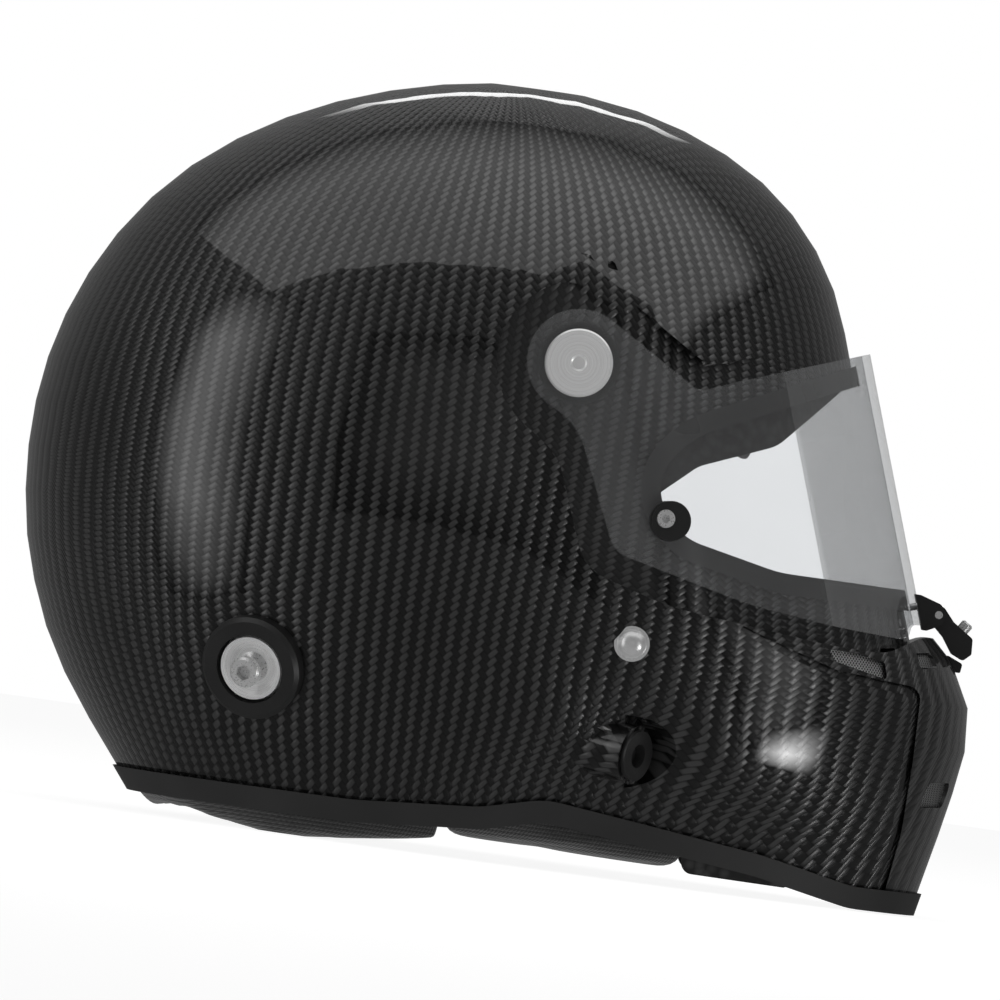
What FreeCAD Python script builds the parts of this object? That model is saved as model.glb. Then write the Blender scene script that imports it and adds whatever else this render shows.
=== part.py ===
import FreeCAD, Part
import Sketcher
import math
import os
from FreeCAD import Placement, Rotation, Vector

# Full-face auto racing helmet with a hinged clear visor.
# Frame: X forward, Y to the wearer's left, Z up, in mm. The origin is under the middle of the
# helmet, on the surface that it stands on: the chin edge in front and the neck roll behind.

doc = FreeCAD.newDocument("racing_helmet")
sheet = doc.addObject("Spreadsheet::Sheet", "Sizes")

RIGHT = -1
LEFT = 1
SIDES = (("right", RIGHT), ("left", LEFT))

# Driving sizes, one cell each
SIZES = (
    ("wall", 3.5, "shell wall"),
    ("crown_height", 272.6, "top of the shell"),
    ("waist_height", 130, "height of the longest section"),
    ("widest_station", -25, "x of the widest place"),
    ("crown_station", -10.4, "x of the crown"),
    ("outline_reach", 205, "half length of the side view outlines"),
    ("visor_thickness", 3, "clear visor"),
    ("visor_gap", 2.5, "from the visor to the floor of its recess"),
    ("visor_arm_side", 110, "outer face of the flat visor arms, from the middle"),
    ("visor_arm_end", 34.1, "end of the flat arms in the visor's plan"),
    ("visor_shoulder", 48, "radius between the arm and the side window"),
    ("visor_bend", 98.5, "bend line in the visor's plan"),
    ("visor_front", 128.8, "front in the visor's plan"),
    ("visor_plan_height", 147, "height at which the plan crosses the middle of the helmet"),
    ("visor_blank", 150, "half length of the visor blank along its raked axis"),
    ("visor_travel", 50, "turn of the raised visor, in degrees"),
    ("brow_relief", 15, "radius of the shallow hollow under the raised visor's shoulder"),
    ("brow_relief_x", 33, "middle of that hollow"),
    ("brow_relief_z", 202, "middle of that hollow"),
    ("brow_relief_gap", 0.9, "between the hollow and the raised visor"),
    ("pivot_x", 17.3, "visor pivot"),
    ("pivot_z", 177.5, "visor pivot"),
    ("pivot_head", 12, "radius of the pivot screw head"),
    ("pivot_head_height", 2.8, "pivot screw head"),
    ("pivot_bush", 6, "radius of the pivot bush"),
    ("pivot_shank", 3, "radius of the pivot screw"),
    ("pivot_shank_length", 13.5, "pivot screw under its head"),
    ("pivot_plate", 14.5, "radius of the base plate under the arm"),
    ("pivot_plate_height", 1.9, "base plate under the arm"),
    ("pivot_nut", 8, "radius of the pivot nut over its corners"),
    ("pivot_nut_height", 4, "pivot nut"),
    ("running_fit", 0.06, "radial clearance of a turning fit"),
    ("face_gap", 0.15, "between faces that slide past each other"),
    ("seat_gap", 0.3, "between foam or fabric and its seat"),
    ("edge_fit", 0.1, "between the shell's edge and its rubber"),
    ("trim_side", 1.6, "rubber outside and inside the shell's lower edge"),
    ("trim_below", 3.4, "rubber below the lower edge"),
    ("trim_above", 4.5, "rubber above the lower edge"),
    ("seal_side", 1.8, "rubber outside and inside the eye port's edge"),
    ("seal_band", 3.5, "rubber on each side of the eye port's edge"),
    ("groove_depth", 1.2, "grooves of the chin"),
    ("liner_thickness", 32, "energy absorbing liner"),
    ("comfort_thickness", 7.5, "comfort liner"),
    ("chin_liner_thickness", 16, "chin bar liner"),
    ("cheek_thickness", 34, "cheek pad"),
    ("neck_thickness", 24, "neck roll"),
    ("tear_x", 54, "screw of the tear-off post"),
    ("tear_z", 127.3, "screw of the tear-off post"),
    ("tear_throw", 2.2, "from the screw to the middle of the post"),
    ("tear_post", 7, "radius of the tear-off post"),
    ("tear_post_height", 4.2, "tear-off post"),
    ("tear_screw_head", 3.2, "radius of its screw head"),
    ("tear_screw_head_height", 1.6, "its screw head"),
    ("tear_screw", 1.5, "radius of its screw"),
    ("rivet_x", 49.1, "chin strap rivet"),
    ("rivet_z", 82.6, "chin strap rivet"),
    ("rivet_head", 5.2, "radius of the rivet's dome"),
    ("rivet_collar", 6.25, "radius of the rivet's collar"),
    ("rivet_shank", 2.5, "radius of the rivet"),
    ("strap_line", 100.6, "inner face of the strap where it is riveted, from the middle"),
    ("strap_width", 24, "chin strap"),
    ("strap_thickness", 1.8, "chin strap"),
    ("strap_level", 15, "middle of the closed buckle"),
    ("strap_top", 91, "upper end of the strap"),
    ("buckle_half", 15.4, "half width of the buckle rings"),
    ("buckle_back", -22, "y of the rings' back edge"),
    ("buckle_front", -2, "y of the rings' front edge"),
    ("buckle_bar", 2.6, "width of the rings' stock"),
    ("buckle_plate", 2.2, "thickness of the rings' stock"),
    ("anchor_x", -81, "head restraint anchor"),
    ("anchor_z", 56.8, "head restraint anchor"),
    ("anchor_ring", 18.5, "radius of the anchor's rubber ring"),
    ("anchor_ring_height", 4.2, "rubber ring"),
    ("anchor_cup", 12.3, "radius of the anchor's cup"),
    ("anchor_cup_height", 3.3, "cup"),
    ("anchor_stem", 3, "radius of the anchor post's stem"),
    ("anchor_head", 5.5, "radius of the anchor post's head"),
    ("anchor_reach", 9.2, "height of the anchor post over the shell"),
    ("anchor_nut", 8, "radius of the anchor nut over its corners"),
    ("anchor_seat", 0.8, "depth of the flat seat under the cup"),
    ("anchor_nut_height", 4, "anchor nut"),
    ("anchor_nut_drop", 0.4, "anchor nut below the middle of its curved seat"),
    ("port_x", 55.4, "middle of the port's face"),
    ("port_z", 44, "middle of the port's face"),
    ("port_proud", 4.5, "middle of the port's face over the shell"),
    ("port_tube", 10.4, "outer radius of the port's tube"),
    ("port_bore", 7.6, "bore of the port"),
    ("port_length", 60, "tube behind its face"),
    ("port_depth", 15, "depth of the bore"),
    ("port_dish", 13.6, "radius of the hollow in front of the port"),
    ("plug_flange", 8.9, "radius of the plug's flange"),
    ("latch_width", 24, "visor latch"),
    ("latch_lug", 2.6, "each lug of the latch bracket"),
    ("latch_pin_x", 156.2, "latch pin"),
    ("latch_pin_z", 107, "latch pin"),
    ("latch_pin", 1.4, "radius of the latch pin"),
    ("latch_plate", 2.2, "latch bracket in front of the visor"),
    ("latch_screw", 1.2, "radius of the latch screws"),
    ("latch_screw_spread", 5.5, "each latch screw from the middle"),
    ("latch_screw_drop", 83.6, "latch screws below the visor's plan"),
    ("latch_knob_x", 165.4, "foot of the latch knob"),
    ("latch_knob_z", 102.85, "foot of the latch knob"),
    ("latch_catch_half", 4, "half width of the catch"),
    ("mesh_thickness", 1, "vent mesh"),
    ("mesh_depth", 1.4, "vent mesh below the shell's face"),
)

# Sections of the shell: height, back, front, half width, fullness of the front curve
SECTIONS = (
    (0, -114, 160.5, 91, 2.25),
    (20, -129.8, 164.8, 99, 2.25),
    (45, -148.5, 169.9, 108, 2.25),
    (68, -160.6, 172.2, 114.5, 2.25),
    (82, -165.5, 168.8, 117.3, 2.25),
    (94, -168.8, 160.6, 119.4, 2.2),
    (110, -171.2, 144, 121.5, 2.15),
    (130, -172, 134.5, 123, 2.1),
    (152, -169.9, 127, 122.8, 2.05),
    (175, -163.8, 118.6, 120.5, 2),
    (196, -154.2, 111.6, 115, 2),
    (215, -141.4, 104.3, 106.5, 2),
    (233, -123.5, 92.6, 93.5, 2),
    (249, -99.8, 75.6, 75.5, 2),
    (262, -70.8, 51.3, 52, 2),
    (269.5, -44, 26.5, 30, 2),
    (272.3, -27, 7, 14, 2),
)
SECTION_COLUMNS = ("height", "back", "front", "side", "fullness")
BACK_FULLNESS = 2.1
RINGS = 22
RING_POINTS = 12
FOAM_SIDES = 30

# Side view outlines: corners as x, z and rounding radius
OUTLINES = {
    "lower_edge": (
        (-205, 9.4, 0), (-40, 10.6, 90), (5, 14.2, 30), (27, 19.8, 25), (60, 16, 60),
        (104, 10.6, 60), (138, 3.6, 30), (205, 3.4, 0), (205, 320, 0), (-205, 320, 0),
    ),
    "eye_port": (
        (98, 110.5, 60), (205, 110.5, 0), (205, 228.3, 0), (58, 160, 35), (44, 140, 20),
        (58, 119, 25),
    ),
    "recess_lip": (
        (-11.5, 162.6, 28.5), (14.5, 144.5, 20), (29, 106.5, 16), (60, 97.3, 80),
        (119.5, 91.2, 200), (139, 91.2, 14), (151, 98.5, 10), (205, 98.5, 0), (205, 234, 0),
        (63, 182.5, 12), (25.2, 206, 28.5), (-11.5, 206, 28.5),
    ),
    "visor_edge": (
        (-0.9, 166.9, 18), (19.8, 156.2, 25), (38.5, 113.6, 10), (88, 101.8, 120),
        (120, 98.1, 150), (146, 96.6, 3), (146.9, 102.4, 2), (205, 103.5, 0), (205, 226.3, 0),
        (75, 179.2, 40), (60.6, 173.4, 6), (22.6, 196.4, 18), (-0.9, 196.4, 18),
    ),
    "chin_groove": (
        (86, 92, 0), (95, 88.4, 10), (121, 80.2, 20), (149, 77.6, 3), (149.8, 54, 60),
        (149.4, 29, 60), (145.5, 0, 0), (149, 0, 0), (152.9, 29, 60), (153.3, 54, 60),
        (152.8, 80.6, 5), (121.5, 83.2, 20), (95.5, 91.2, 10), (87, 94.2, 0),
    ),
    "liner": (
        (-205, 43.5, 0), (-48, 43.5, 6), (-48, 88, 8), (31, 88, 6), (33, 118, 20),
        (53, 137.5, 10), (64, 147.4, 12), (90.6, 158.2, 14), (107, 176.3, 8), (114, 184, 0),
        (205, 184, 0), (205, 320, 0), (-205, 320, 0),
    ),
    "comfort": (
        (-205, 62, 0), (-49.5, 62, 8), (-49.5, 97, 8), (24, 97, 8), (30, 120, 20),
        (52, 136, 10), (64, 145.6, 12), (90.6, 156.4, 14), (106, 174.5, 0), (106, 320, 0),
        (-205, 320, 0),
    ),
    "chin_liner": (
        (77, 5, 4), (114, 4.5, 0), (120, 7, 0), (205, 7, 0), (205, 102.5, 0), (77, 104, 6),
    ),
    "cheek": (
        (-7.5, 4.6, 4), (27, 8.2, 40), (76, 5, 4), (76, 104, 8), (35, 107, 8), (33, 86.5, 4),
        (-46, 86.5, 10), (-46, 46, 8), (-7.5, 43, 4),
    ),
    "strap_window": ((35.4, 24, 5), (62.8, 24, 5), (62.8, 98, 5), (35.4, 98, 5)),
    "neck": (
        (-205, 6.5, 0), (-95, 4.4, 20), (-72, 0, 8), (-56, 0, 8), (-8.5, 4.2, 4), (-8.5, 42, 8),
        (-205, 42, 0),
    ),
    "side_vent": ((117.5, 90.2, 1), (128, 89.9, 8), (138.5, 87.9, 1), (140.3, 81.9, 1), (121, 86, 2)),
    "latch_bracket": (
        (144, 100.9, 0), (152.6, 100.9, 1), (157.6, 103.4, 2), (159.2, 107, 2.4),
        (156.6, 110.8, 2.4), (149, 113.2, 0.8), (144, 113.2, 0),
    ),
    "latch_lever": (
        (153.2, 104.6, 1.6), (158.8, 99.4, 2), (162.6, 93.9, 1), (166.8, 92, 1.2),
        (169.6, 94.6, 1), (169.3, 100.2, 1.5), (161.9, 105.2, 2), (157, 110.9, 2.4),
        (153.4, 108.6, 2),
    ),
    "latch_catch": ((158, 87.6, 0), (166.6, 87.6, 0.6), (167, 90.9, 1), (161.8, 93.1, 0.6), (158, 93.1, 0)),
}
# Front view outlines: corners as y, z and rounding radius, for the left side
FRONT_OUTLINES = {
    "lower_vent": ((20.5, 39.6, 2.5), (40.5, 38.8, 2.5), (40.5, 47.8, 2.5), (20.5, 48.6, 2.5)),
    "upper_vent": ((36, 88.2, 1.5), (50, 87.4, 1.5), (48.5, 92.6, 1.5), (36, 93.4, 1.5)),
}
# Direction that the port's face looks to, on the left side
PORT_AXIS = (0.844, 0.53, -0.076)
SIDE_WINDOW_ANGLE = 33.4
VISOR_RAKE = math.radians(18.75)
VISOR_OUT = Vector(math.cos(VISOR_RAKE), 0, math.sin(VISOR_RAKE))
VISOR_UP = Vector(-math.sin(VISOR_RAKE), 0, math.cos(VISOR_RAKE))


def fill_sheet():
    """Write every driving size into the spreadsheet as text, with an alias."""
    cells = [(name, value, note) for name, value, note in SIZES]
    for row, section in enumerate(SECTIONS):
        for column, value in zip(SECTION_COLUMNS, section):
            cells.append((f"section_{row}_{column}", value, "shell section"))
    for table in (OUTLINES, FRONT_OUTLINES):
        for name, corners in table.items():
            for number, corner in enumerate(corners):
                for axis, value in zip(("across", "up", "round"), corner):
                    cells.append((f"{name}_{number}_{axis}", value, "outline corner"))
    for row, (name, value, note) in enumerate(cells, 1):
        sheet.set(f"A{row}", note)
        sheet.set(f"B{row}", str(value))
        sheet.setAlias(f"B{row}", name)
    doc.recompute()


def mm(name):
    """The value of one cell."""
    return float(sheet.get(name))


def total(expression):
    """Value of a sum of cells and plain numbers, such as 'wall + face_gap'."""
    result = 0.0
    sign = 1.0
    for word in expression.split():
        if word in "+-":
            sign = 1.0 if word == "+" else -1.0
        else:
            result += sign * (mm(word) if word[0].isalpha() else float(word))
    return result


def bound(expression):
    """The same sum as an expression on the sheet."""
    words = [f"Sizes.{w}" if w[0].isalpha() else w for w in expression.split()]
    return " ".join(words)


fill_sheet()
WALL = mm("wall")
REACH = mm("outline_reach")
SEAT_GAP = mm("seat_gap")
FACE_GAP = mm("face_gap")
RUNNING_FIT = mm("running_fit")
PIVOT = Vector(mm("pivot_x"), 0, mm("pivot_z"))
parts = []
forms = {}


# Shell form

def section_rows():
    """Rings of the shell: the measured sections with smooth curves run through them."""
    rows = [[mm(f"section_{row}_{column}") for column in SECTION_COLUMNS] for row in range(len(SECTIONS))]
    steps = [0.0]
    for low, high in zip(rows, rows[1:]):
        steps.append(steps[-1] + math.hypot(high[0] - low[0], high[3] - low[3]))
    length = Part.BSplineCurve()
    length.interpolate(Points=[Vector(r[1], r[2], r[0]) for r in rows], Parameters=steps)
    girth = Part.BSplineCurve()
    girth.interpolate(Points=[Vector(r[3], r[4], r[0]) for r in rows], Parameters=steps)
    rings = []
    for number in range(RINGS):
        step = steps[-1] * number / (RINGS - 1)
        ends, sides = length.value(step), girth.value(step)
        rings.append((ends.z, ends.x, ends.y, sides.x, sides.y))
    return rings


ROWS = section_rows()


def ring_points(row, inset):
    """Points round one section that is drawn in by inset, square to the surface."""
    height, back, front, side, fullness = row
    crown, waist = mm("crown_height"), mm("waist_height")
    steepness = max(0.0, (height - waist) / (crown - waist))
    inward = inset * math.sqrt(1 - steepness ** 2)
    middle = mm("widest_station") + (mm("crown_station") - mm("widest_station")) * steepness ** 2
    points = []
    for number in range(RING_POINTS):
        turn = 2 * math.pi * number / RING_POINTS
        forward, across = math.cos(turn), math.sin(turn)
        reach = front - inward - middle if forward > 0 else middle - back - inward
        power = 2 / (fullness if forward > 0 else BACK_FULLNESS)
        x = middle + reach * math.copysign(abs(forward) ** power, forward)
        y = (side - inward) * math.copysign(abs(across) ** power, across)
        points.append(Vector(x, y, height - inset * steepness))
    return points


def ring_curve(row, inset):
    """Closed smooth curve round one section that is drawn in by inset."""
    curve = Part.BSplineCurve()
    stations = [number / RING_POINTS for number in range(RING_POINTS + 1)]
    curve.interpolate(Points=ring_points(row, inset), PeriodicFlag=True, Parameters=stations)
    return curve


def form(inset):
    """Solid inside the shell's outer form, drawn in by inset."""
    if inset not in forms:
        rings = [Part.Wire([ring_curve(row, inset).toShape()]) for row in ROWS]
        forms[inset] = Part.makeLoft(rings, True, True, False)
    return forms[inset]


def foam_form(inset):
    """The same form in flats: their corners lie on the form's own curves."""
    rings = []
    for row in ROWS:
        curve = ring_curve(row, inset)
        rings.append([curve.value(number / FOAM_SIDES) for number in range(FOAM_SIDES)])
    faces = []
    for low, high in zip(rings, rings[1:]):
        for number in range(FOAM_SIDES):
            after = (number + 1) % FOAM_SIDES
            a, b, c, d = low[number], low[after], high[after], high[number]
            for corners in ((a, b, c), (a, c, d)):
                faces.append(Part.Face(Part.makePolygon(corners + (corners[0],))))
    for ring in (rings[0], rings[-1]):
        faces.append(Part.Face(Part.makePolygon(ring + [ring[0]])))
    return Part.Solid(Part.Shell(faces))


# Outlines

def rounded(corners):
    """Closed wire through (x, z, radius) corners, with an arc at each rounded one."""
    points = [Vector(x, 0, z) for x, z, radius in corners]
    starts, ends, arcs = [], [], []
    for number, (x, z, radius) in enumerate(corners):
        here = points[number]
        back = (points[number - 1] - here).normalize()
        ahead = (points[(number + 1) % len(points)] - here).normalize()
        half = back.getAngle(ahead) / 2
        cut = radius / math.tan(half) if radius else 0
        start, end = here + back * cut, here + ahead * cut
        starts.append(start)
        ends.append(end)
        if radius:
            bisector = (back + ahead).normalize()
            middle = here + bisector * (radius / math.sin(half) - radius)
            arcs.append(Part.Arc(start, middle, end).toShape())
        else:
            arcs.append(None)
    edges = []
    for number in range(len(points)):
        if arcs[number]:
            edges.append(arcs[number])
        edges.append(Part.makeLine(ends[number], starts[(number + 1) % len(points)]))
    return Part.Wire(edges)


def corners_of(name, table):
    count = len(table[name])
    return [tuple(mm(f"{name}_{n}_{axis}") for axis in ("across", "up", "round")) for n in range(count)]


def outline_face(name, grow=0.0):
    """Face of a side view outline in the middle plane, grown all round."""
    face = Part.Face(rounded(corners_of(name, OUTLINES)))
    return face.makeOffset2D(grow, 2) if grow else face


def side_block(name, grow=0.0, half=None):
    """Side view outline run across the helmet."""
    half = half or REACH
    face = outline_face(name, grow)
    face.translate(Vector(0, -half, 0))
    return face.extrude(Vector(0, 2 * half, 0))


def front_block(name, side, grow=0.0):
    """Front view outline run forward through the chin on one side."""
    face = Part.Face(rounded(corners_of(name, FRONT_OUTLINES)))
    if grow:
        face = face.makeOffset2D(grow, 2)
    face.rotate(Vector(0, 0, 0), Vector(0, 0, 1), 90)
    face.translate(Vector(mm("visor_bend"), 0, 0))
    block = face.extrude(Vector(REACH - mm("visor_bend"), 0, 0))
    return block if side == LEFT else mirrored(block)


def mirrored(shape):
    return shape.mirror(Vector(0, 0, 0), Vector(0, 1, 0))


def half_space(side, start=0.0):
    """Everything on one side of the middle plane."""
    box = Part.makeBox(2 * REACH, REACH, 2 * REACH, Vector(-REACH, start, -REACH / 2))
    return box if side == LEFT else mirrored(box)


# Visor blank and its recess

def visor_core(inset):
    """Everything inside the visor's outer face, drawn in by inset."""
    side, arm_end, shoulder = mm("visor_arm_side"), mm("visor_arm_end"), mm("visor_shoulder")
    angle = math.radians(SIDE_WINDOW_ANGLE)
    arc = [Vector(arm_end + shoulder * math.sin(a), side - shoulder * (1 - math.cos(a)), 0)
           for a in (0, angle / 2, angle)]
    bend_x = mm("visor_bend")
    bend = Vector(bend_x, arc[2].y - (bend_x - arc[2].x) * math.tan(angle), 0)
    flip = [Vector(p.x, -p.y, 0) for p in arc]
    bend_flip = Vector(bend.x, -bend.y, 0)
    tail = Vector(-REACH, side, 0)
    tail_flip = Vector(-REACH, -side, 0)
    edges = [
        Part.makeLine(tail, arc[0]),
        Part.Arc(*arc).toShape(),
        Part.makeLine(arc[2], bend),
        Part.Arc(bend, Vector(mm("visor_front"), 0, 0), bend_flip).toShape(),
        Part.makeLine(bend_flip, flip[2]),
        Part.Arc(flip[2], flip[1], flip[0]).toShape(),
        Part.makeLine(flip[0], tail_flip),
        Part.makeLine(tail_flip, tail),
    ]
    face = Part.Face(Part.Wire(edges))
    if inset:
        face = face.makeOffset2D(-inset, 2)
    blank = mm("visor_blank")
    face.translate(Vector(0, 0, -blank))
    core = face.extrude(Vector(0, 0, 2 * blank))
    core.rotate(Vector(), Vector(0, 1, 0), -math.degrees(VISOR_RAKE))
    core.translate(Vector(0, 0, mm("visor_plan_height")))
    return core


def recess(inset):
    """Space cut out of the shell for the closed visor, grown inward by inset."""
    return side_block("recess_lip", inset).cut(visor_core(mm("visor_thickness") + mm("visor_gap") + inset))


def raised_core(inset):
    """The visor's core when the visor is raised all the way."""
    core = visor_core(inset)
    core.rotate(PIVOT, Vector(0, -1, 0), mm("visor_travel"))
    return core


def brow_relief():
    """Shallow hollows above the recess, where the shoulders of the raised visor pass."""
    middle = Vector(mm("brow_relief_x"), 0, mm("brow_relief_z"))
    posts = [axis_block(middle, Vector(0, side, 0), mm("brow_relief"), 0, REACH) for name, side in SIDES]
    return [post.cut(raised_core(mm("visor_thickness") + mm("brow_relief_gap"))) for post in posts]


def on_form(x, z, side):
    """Point of the outer form at x, z on one side, and the outward normal there."""
    def touch(x, z):
        line = Part.makeLine(Vector(x, side * REACH, z), Vector(x, 0, z)).common(form(0))
        return Vector(x, max(side * v.Y for v in line.Vertexes) * side, z)
    step = mm("rivet_head")
    across = touch(x + step, z) - touch(x - step, z)
    upward = touch(x, z + step) - touch(x, z - step)
    normal = across.cross(upward)
    if normal.y * side < 0:
        normal = -normal
    return touch(x, z), normal.normalize()


def port_frame(side):
    """Middle of the port's face and the direction that it looks to."""
    skin_point, normal = on_form(mm("port_x"), mm("port_z"), side)
    axis = Vector(PORT_AXIS[0], PORT_AXIS[1] * side, PORT_AXIS[2]).normalize()
    return skin_point + Vector(0, side * mm("port_proud"), 0), axis


def port_hollow(side, inset):
    """Hollow in front of the port, grown by inset."""
    face, axis = port_frame(side)
    behind = mm("port_tube") / 2 + inset
    return Part.makeCylinder(mm("port_dish") + inset, mm("port_length"), face - axis * behind, axis)


def hollows(inset):
    return [recess(inset)] + [port_hollow(side, inset) for name, side in SIDES]


def skin(inset):
    """Outer face of the shell with its hollows, drawn in by inset, as a solid."""
    return form(inset).cut(hollows(inset))


def foam_skin(inset):
    return foam_form(inset).cut(hollows(inset))


# Objects of the document

def add(label, shape):
    """Keep a sub-part whose shape comes from Part functions."""
    piece = doc.addObject("Part::Feature", label)
    if shape.ShapeType == "Compound" and len(shape.Solids) == 1:
        shape = shape.Solids[0]
    piece.Shape = shape
    piece.Placement = Placement()
    piece.Label = label
    parts.append(piece)
    return piece


def sketch_on(body, role, name):
    plane = next(f for f in body.Origin.OriginFeatures if f.Role == role)
    sketch = body.newObject("Sketcher::SketchObject", name)
    sketch.AttachmentSupport = [(plane, "")]
    sketch.MapMode = "FlatFace"
    return sketch


def pin_corner(sketch, edge, across, up):
    """Hold the start of an edge at its cells, measured from the sketch's axes."""
    for kind, expression, axis in (("DistanceX", across, -2), ("DistanceY", up, -1)):
        if total(expression) == 0:
            sketch.addConstraint(Sketcher.Constraint("PointOnObject", edge, 1, axis))
            continue
        number = sketch.addConstraint(
            Sketcher.Constraint(kind, -1, 1, edge, 1, total(expression)))
        sketch.setExpression(f"Constraints[{number}]", bound(expression))


def turned(label, profile):
    """Body turned about its own Z axis from a closed profile of (radius, height) cells."""
    body = doc.addObject("PartDesign::Body", label)
    sketch = sketch_on(body, "XZ_Plane", label + "_profile")
    points = [Vector(total(radius), total(height), 0) for radius, height in profile]
    for number, point in enumerate(points):
        sketch.addGeometry(Part.LineSegment(point, points[(number + 1) % len(points)]))
    for number, (radius, height) in enumerate(profile):
        sketch.addConstraint(
            Sketcher.Constraint("Coincident", number, 2, (number + 1) % len(points), 1))
        pin_corner(sketch, number, radius, height)
    turn = body.newObject("PartDesign::Revolution", label + "_turn")
    turn.Profile = sketch
    turn.ReferenceAxis = (sketch, ["V_Axis"])
    turn.Angle = 360
    sketch.Visibility = False
    body.Tip = turn
    body.Label = label
    return body


def socket(body, top, depth, size):
    """Hexagon socket cut down from the top of a turned body."""
    sketch = sketch_on(body, "XY_Plane", body.Label + "_socket")
    sketch.AttachmentOffset = Placement(Vector(0, 0, total(top)), Rotation())
    sketch.setExpression("AttachmentOffset.Base.z", bound(top))
    points = [Vector(size * math.cos(math.radians(a)), size * math.sin(math.radians(a)), 0)
              for a in range(0, 360, 60)]
    for number, point in enumerate(points):
        sketch.addGeometry(Part.LineSegment(point, points[(number + 1) % 6]))
    doc.recompute()
    before = body.Shape.Volume
    pocket = body.newObject("PartDesign::Pocket", body.Label + "_pocket")
    pocket.Profile = sketch
    pocket.Length = depth
    body.Tip = pocket
    doc.recompute()
    if body.Shape.Volume >= before:
        raise RuntimeError(f"the socket of {body.Label} cuts nothing")


def hexagon_nut(label, radius, height, bore, base, axis, cells=None):
    """Hexagon nut with its foot at base."""
    prism = doc.addObject("Part::Prism", label + "_hexagon")
    prism.Polygon = 6
    prism.setExpression("Circumradius", bound(radius))
    prism.setExpression("Height", bound(height))
    stand(cut_of(label, prism, cylinder(label + "_bore", bore, height)), base, axis, cells)


def cylinder(label, radius, height):
    round_piece = doc.addObject("Part::Cylinder", label)
    round_piece.setExpression("Radius", bound(radius))
    round_piece.setExpression("Height", bound(height))
    return round_piece


def cut_of(label, base, tool):
    cut = doc.addObject("Part::Cut", label)
    cut.Base, cut.Tool = base, tool
    cut.Label = label
    return cut


def stand(piece, base, axis, cells=None):
    """Put a body at base with its Z along axis, its place bound to cells where they are given."""
    piece.Placement = Placement(base, Rotation(Vector(0, 0, 1), axis))
    for name, expression in (cells or {}).items():
        piece.setExpression(f"Placement.Base.{name}", bound(expression))
    parts.append(piece)


# Shell, trim and seal

def axis_block(base, axis, radius, low, high):
    """Cylinder along an axis, from low to high over its base."""
    return Part.makeCylinder(radius, high - low, base + axis * low, axis)


def make_shell():
    """Shell with its eye port, visor recess, chin grooves, vents, ports and fixing holes."""
    outer = skin(0)
    tubes, bores = [], []
    for name, side in SIDES:
        face, axis = port_frame(side)
        tubes.append(axis_block(face, axis, mm("port_tube"), -mm("port_length"), 0))
        bores.append(axis_block(face, axis, mm("port_bore"), -mm("port_depth"), WALL))
    grooves = side_block("chin_groove").cut(form(mm("groove_depth")))
    outer = outer.cut(grooves).fuse(tubes)
    shell = outer.cut(skin(WALL)).common(side_block("lower_edge"))
    cuts = [side_block("eye_port"), side_block("side_vent")] + bores + brow_relief()
    for name, side in SIDES:
        cuts += [front_block("lower_vent", side), front_block("upper_vent", side)]
        y_axis = Vector(0, side, 0)
        cuts.append(axis_block(PIVOT, y_axis, mm("pivot_shank") + RUNNING_FIT, 0, REACH))
        rivet = Vector(mm("rivet_x"), 0, mm("rivet_z"))
        cuts.append(axis_block(rivet, y_axis, mm("rivet_shank") + RUNNING_FIT, 0, REACH))
        seat, normal = on_form(mm("anchor_x"), mm("anchor_z"), side)
        cuts.append(
            axis_block(seat, normal, mm("anchor_cup") + FACE_GAP, -mm("anchor_seat"), WALL * 2))
        cuts.append(axis_block(seat, normal, mm("anchor_stem") + RUNNING_FIT, -WALL * 3, 0))
    shell = shell.cut(cuts)
    add("outer_shell", max(shell.Solids, key=lambda solid: solid.Volume))


def make_trim():
    """Rubber channel that wraps the shell's lower edge."""
    side, fit = mm("trim_side"), mm("edge_fit")
    band = side_block("lower_edge", mm("trim_below")).cut(side_block("lower_edge", -mm("trim_above")))
    rubber = form(-side).cut(form(WALL + side)).common(band)
    wall = form(-fit).cut(form(WALL + fit)).common(side_block("lower_edge", fit))
    add("base_trim", rubber.cut(wall))


def make_seal():
    """Rubber channel round the eye port, with a ridge that faces the visor."""
    side, fit, band = mm("seal_side"), mm("edge_fit"), mm("seal_band")
    ring = side_block("eye_port", band).cut(side_block("eye_port", -band))
    outer = form(-side).cut(recess(-side))
    inner = form(WALL + side).cut(recess(WALL + side))
    wall = form(-fit).cut(recess(-fit)).cut(form(WALL + fit).cut(recess(WALL + fit)))
    wall = wall.cut(side_block("eye_port", -fit))
    rubber = outer.cut(inner).common(ring).cut(wall)
    add("eye_port_seal", max(rubber.Solids, key=lambda solid: solid.Volume))


def edge_space():
    """Room that the trim and the seal take inside the shell, kept free of foam."""
    trim = side_block("lower_edge", REACH).cut(side_block("lower_edge", -mm("trim_above") - SEAT_GAP))
    seal = side_block("eye_port", mm("seal_band") + SEAT_GAP)
    near_trim = trim.cut(form(WALL + mm("trim_side") + SEAT_GAP))
    inside_seal = WALL + mm("seal_side") + SEAT_GAP
    near_seal = seal.cut(form(inside_seal).cut(recess(inside_seal)))
    return [near_trim, near_seal]


# Visor

def tear_frame(side):
    """Place and outward direction of the tear-off post's screw on the visor's face."""
    from_plan = Vector(mm("tear_x"), 0, mm("tear_z") - mm("visor_plan_height"))
    tilt = math.asin((from_plan.dot(VISOR_OUT) - mm("visor_arm_end")) / mm("visor_shoulder"))
    y = mm("visor_arm_side") - mm("visor_shoulder") * (1 - math.cos(tilt))
    normal = VISOR_OUT * math.sin(tilt) + Vector(0, side * math.cos(tilt), 0)
    return Vector(mm("tear_x"), side * y, mm("tear_z")), normal


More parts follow.
